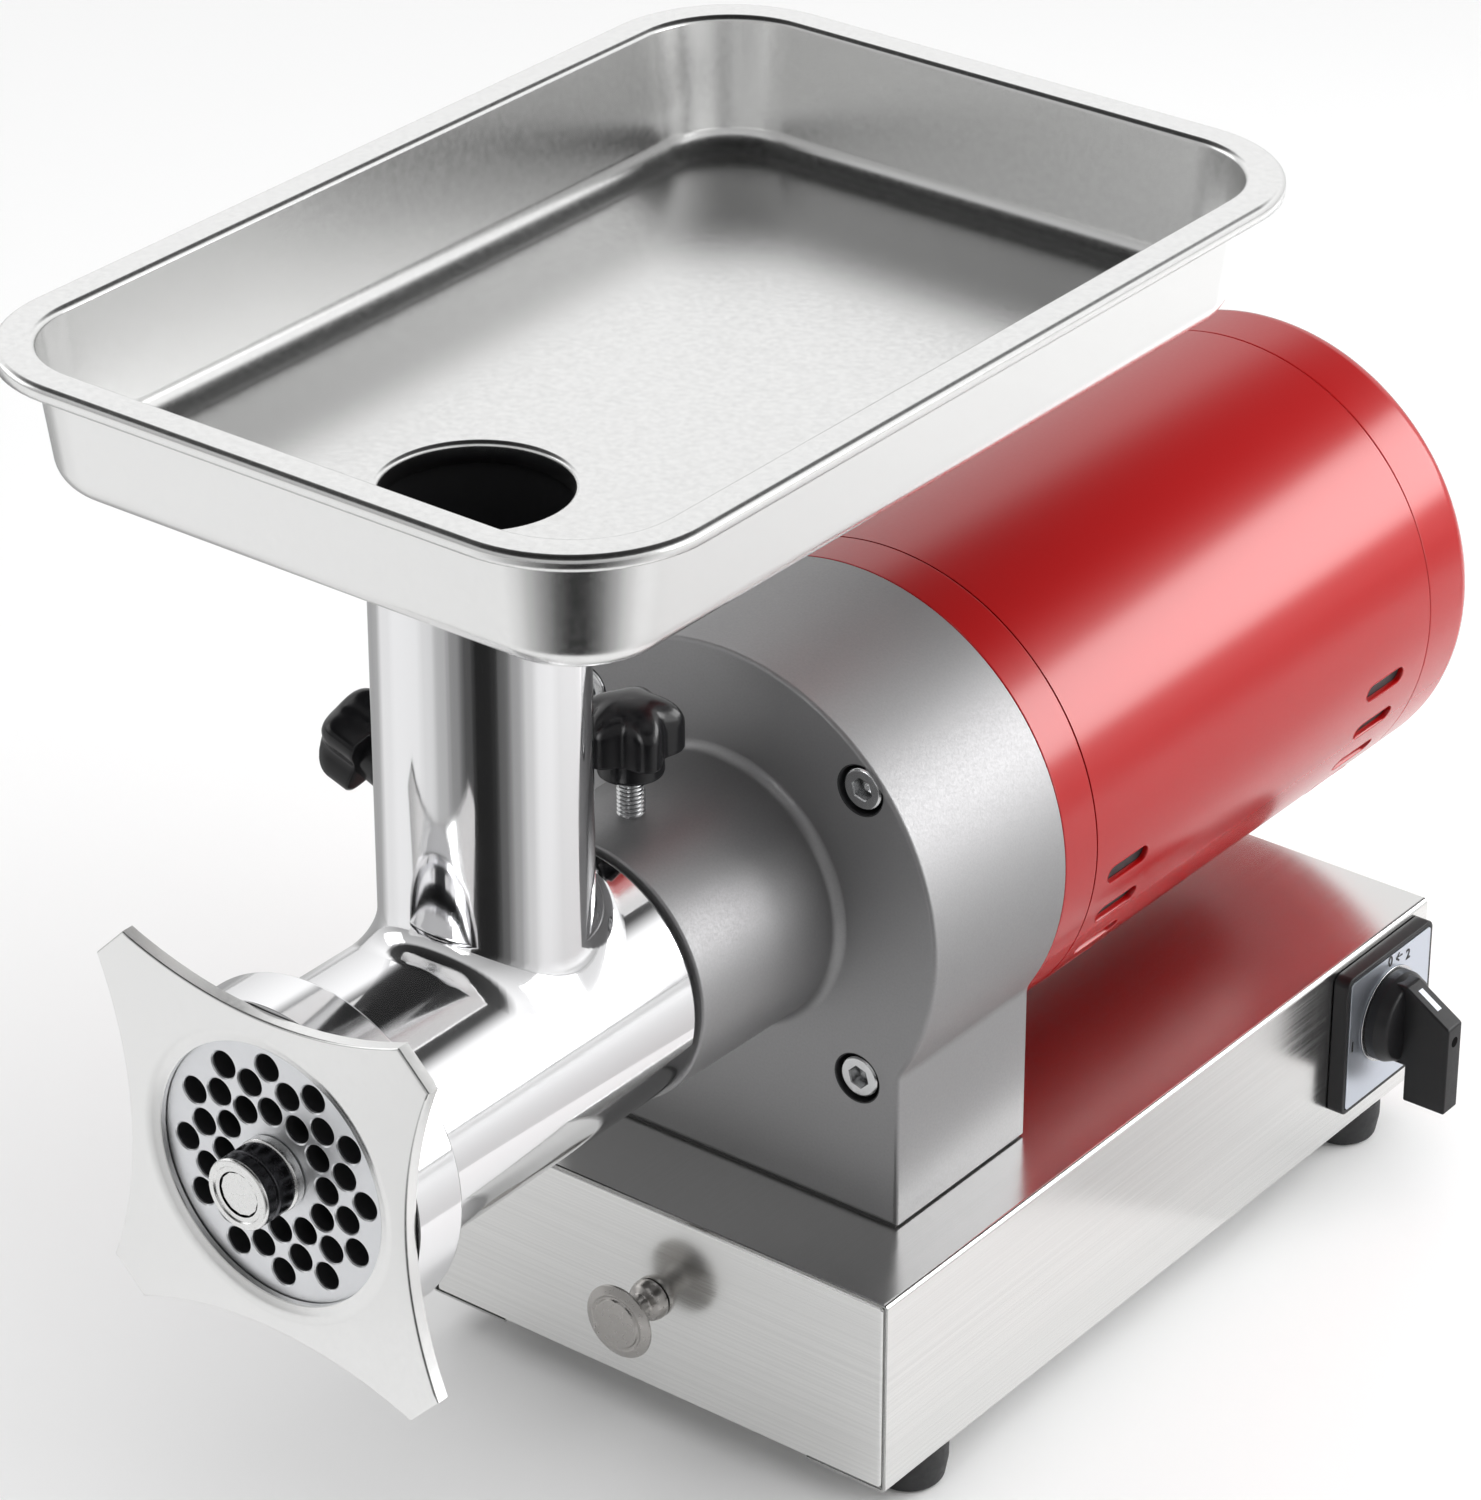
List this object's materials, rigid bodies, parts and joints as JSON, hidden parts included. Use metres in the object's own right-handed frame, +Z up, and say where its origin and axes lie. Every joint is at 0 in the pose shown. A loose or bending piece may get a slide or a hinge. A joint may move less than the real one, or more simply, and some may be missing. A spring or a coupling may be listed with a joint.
{
  "type": "electric meat grinder",
  "caption": "Countertop electric meat grinder with a rectangular feed tray, polished head, cast gearbox, red cylindrical motor, star clamp knobs and a steel base with a drawer.",
  "frame": {"origin": "on the table, under the middle of the whole object's box", "axes": "+X to the machine's right, the side with the switch; +Y to the rear, along the feed screw from the plate to the motor; +Z up"},
  "size_m": [0.2234, 0.4856, 0.3722],
  "materials": {
    "brushed_sheet": "horizontal brushed grain",
    "satin_steel": "satin",
    "polished_steel": "mirror polish",
    "plate_steel": "matte ground",
    "cast_silver": "fine sand texture, silver coating",
    "red_paint": "gloss metallic red",
    "black_plastic": "gloss",
    "white_plastic": "matte",
    "black_rubber": "matte",
    "gasket": "matte",
    "zinc_steel": "bright zinc",
    "gear_steel": "machined",
    "dark_steel": "dark burnished",
    "copper": "enamelled copper wire",
    "silver_plate": "satin"
  },
  "bodies": {
    "base": {"base_shell": "brushed_sheet", "base_floor": "brushed_sheet", "foot_front_left": "black_rubber", "foot_front_right": "black_rubber", "foot_rear_left": "black_rubber", "foot_rear_right": "black_rubber", "drawer_runner_left": "zinc_steel", "drawer_runner_right": "zinc_steel", "gear_housing": "cast_silver", "gearbox_cover": "cast_silver", "pedestal_gasket": "gasket", "housing_bolt_upper_right": "zinc_steel", "housing_bolt_upper_left": "zinc_steel", "housing_bolt_lower_left": "zinc_steel", "housing_bolt_lower_right": "zinc_steel", "spindle_bearing_front": "gear_steel", "spindle_bearing_rear": "gear_steel", "spindle_seal": "black_rubber", "countershaft_bearing_front": "gear_steel", "countershaft_bearing_rear": "gear_steel", "motor_front_bell": "red_paint", "motor_shell": "red_paint", "motor_rear_bell": "red_paint", "stator_core": "dark_steel", "winding_front": "copper", "winding_rear": "copper", "motor_bearing_front": "gear_steel", "motor_bearing_rear": "gear_steel", "switch_bezel": "black_plastic", "switch_plate": "silver_plate", "switch_body": "black_plastic", "capacitor": "silver_plate", "capacitor_clamp": "zinc_steel", "cable_gland": "black_plastic"},
    "drawer": {"drawer_front": "brushed_sheet", "drawer_box": "brushed_sheet", "drawer_knob": "satin_steel", "drawer_knob_screw": "zinc_steel"},
    "head": {"grinder_head": "polished_steel", "grinding_plate": "plate_steel", "plate_bushing": "dark_steel", "plate_key": "zinc_steel"},
    "tray": {"tray": "satin_steel"},
    "feed_screw": {"feed_screw": "satin_steel", "cutting_knife": "gear_steel"},
    "nut_collar": {"ring_nut_collar": "polished_steel"},
    "nut_flange": {"ring_nut_flange": "satin_steel"},
    "rotor": {"rotor_shaft": "gear_steel", "rotor_core": "dark_steel", "cooling_fan": "white_plastic"},
    "countershaft": {"countershaft": "gear_steel", "intermediate_gear": "gear_steel"},
    "output_spindle": {"output_spindle": "gear_steel", "output_gear": "gear_steel"},
    "top_stud": {"top_clamp_stud": "zinc_steel"},
    "top_grip": {"top_clamp_grip": "black_plastic"},
    "side_stud": {"side_clamp_stud": "zinc_steel"},
    "side_grip": {"side_clamp_grip": "black_plastic"},
    "switch_knob": {"switch_handle": "black_plastic", "switch_shaft": "zinc_steel"}
  },
  "joints": [
    {"name": "drawer_slide", "type": "slide", "parent": "base", "child": "drawer", "axis": [0, -1, 0], "range_m": [0, 0.18]},
    {"name": "head_slide", "type": "slide", "parent": "base", "child": "head", "axis": [0, -1, 0], "range_m": [0, 0.07]},
    {"name": "tray_lift", "type": "slide", "parent": "head", "child": "tray", "axis": [0, 0, 1], "range_m": [0, 0.1]},
    {"name": "feed_screw_spin", "type": "hinge", "parent": "head", "child": "feed_screw", "pos_m": [-0.00225, -0.16, 0.16935], "axis": [0, 1, 0], "continuous": true},
    {"name": "nut_advance", "type": "slide", "parent": "head", "child": "nut_collar", "axis": [0, -1, 0], "range_m": [0, 0.009]},
    {"name": "nut_turn", "type": "hinge", "parent": "nut_collar", "child": "nut_flange", "pos_m": [-0.00225, -0.22955, 0.16935], "axis": [0, -1, 0], "range_deg": [0, 1080]},
    {"name": "rotor_spin", "type": "hinge", "parent": "base", "child": "rotor", "pos_m": [-0.00225, 0.1, 0.16935], "axis": [0, 1, 0], "continuous": true},
    {"name": "countershaft_spin", "type": "hinge", "parent": "base", "child": "countershaft", "pos_m": [-0.00225, -0.01, 0.11935], "axis": [0, 1, 0], "continuous": true},
    {"name": "output_spindle_spin", "type": "hinge", "parent": "base", "child": "output_spindle", "pos_m": [-0.00225, -0.03, 0.16935], "axis": [0, 1, 0], "continuous": true},
    {"name": "top_clamp_lift", "type": "slide", "parent": "base", "child": "top_stud", "axis": [0, 0, 1], "range_m": [0, 0.005]},
    {"name": "top_clamp_turn", "type": "hinge", "parent": "top_stud", "child": "top_grip", "pos_m": [-0.00225, -0.07985, 0.235], "axis": [0, 0, 1], "range_deg": [0, 1440]},
    {"name": "side_clamp_lift", "type": "slide", "parent": "base", "child": "side_stud", "axis": [-0.9511, 0, 0.309], "range_m": [0, 0.005]},
    {"name": "side_clamp_turn", "type": "hinge", "parent": "side_stud", "child": "side_grip", "pos_m": [-0.09736, -0.07985, 0.20025], "axis": [-0.9511, 0, 0.309], "range_deg": [0, 1440]},
    {"name": "switch_turn", "type": "hinge", "parent": "base", "child": "switch_knob", "pos_m": [0.09, 0.18145, 0.053], "axis": [1, 0, 0], "range_deg": [-45, 90]}
  ],
  "couplings": [
    {"joint": "countershaft_spin", "follows": "rotor_spin", "ratio": -0.42857},
    {"joint": "output_spindle_spin", "follows": "rotor_spin", "ratio": 0.18367},
    {"joint": "feed_screw_spin", "follows": "rotor_spin", "ratio": 0.18367},
    {"joint": "nut_advance", "follows": "nut_turn", "m_per_rad": 0.00047746},
    {"joint": "top_clamp_lift", "follows": "top_clamp_turn", "m_per_rad": 0.00019894},
    {"joint": "side_clamp_lift", "follows": "side_clamp_turn", "m_per_rad": 0.00019894}
  ]
}
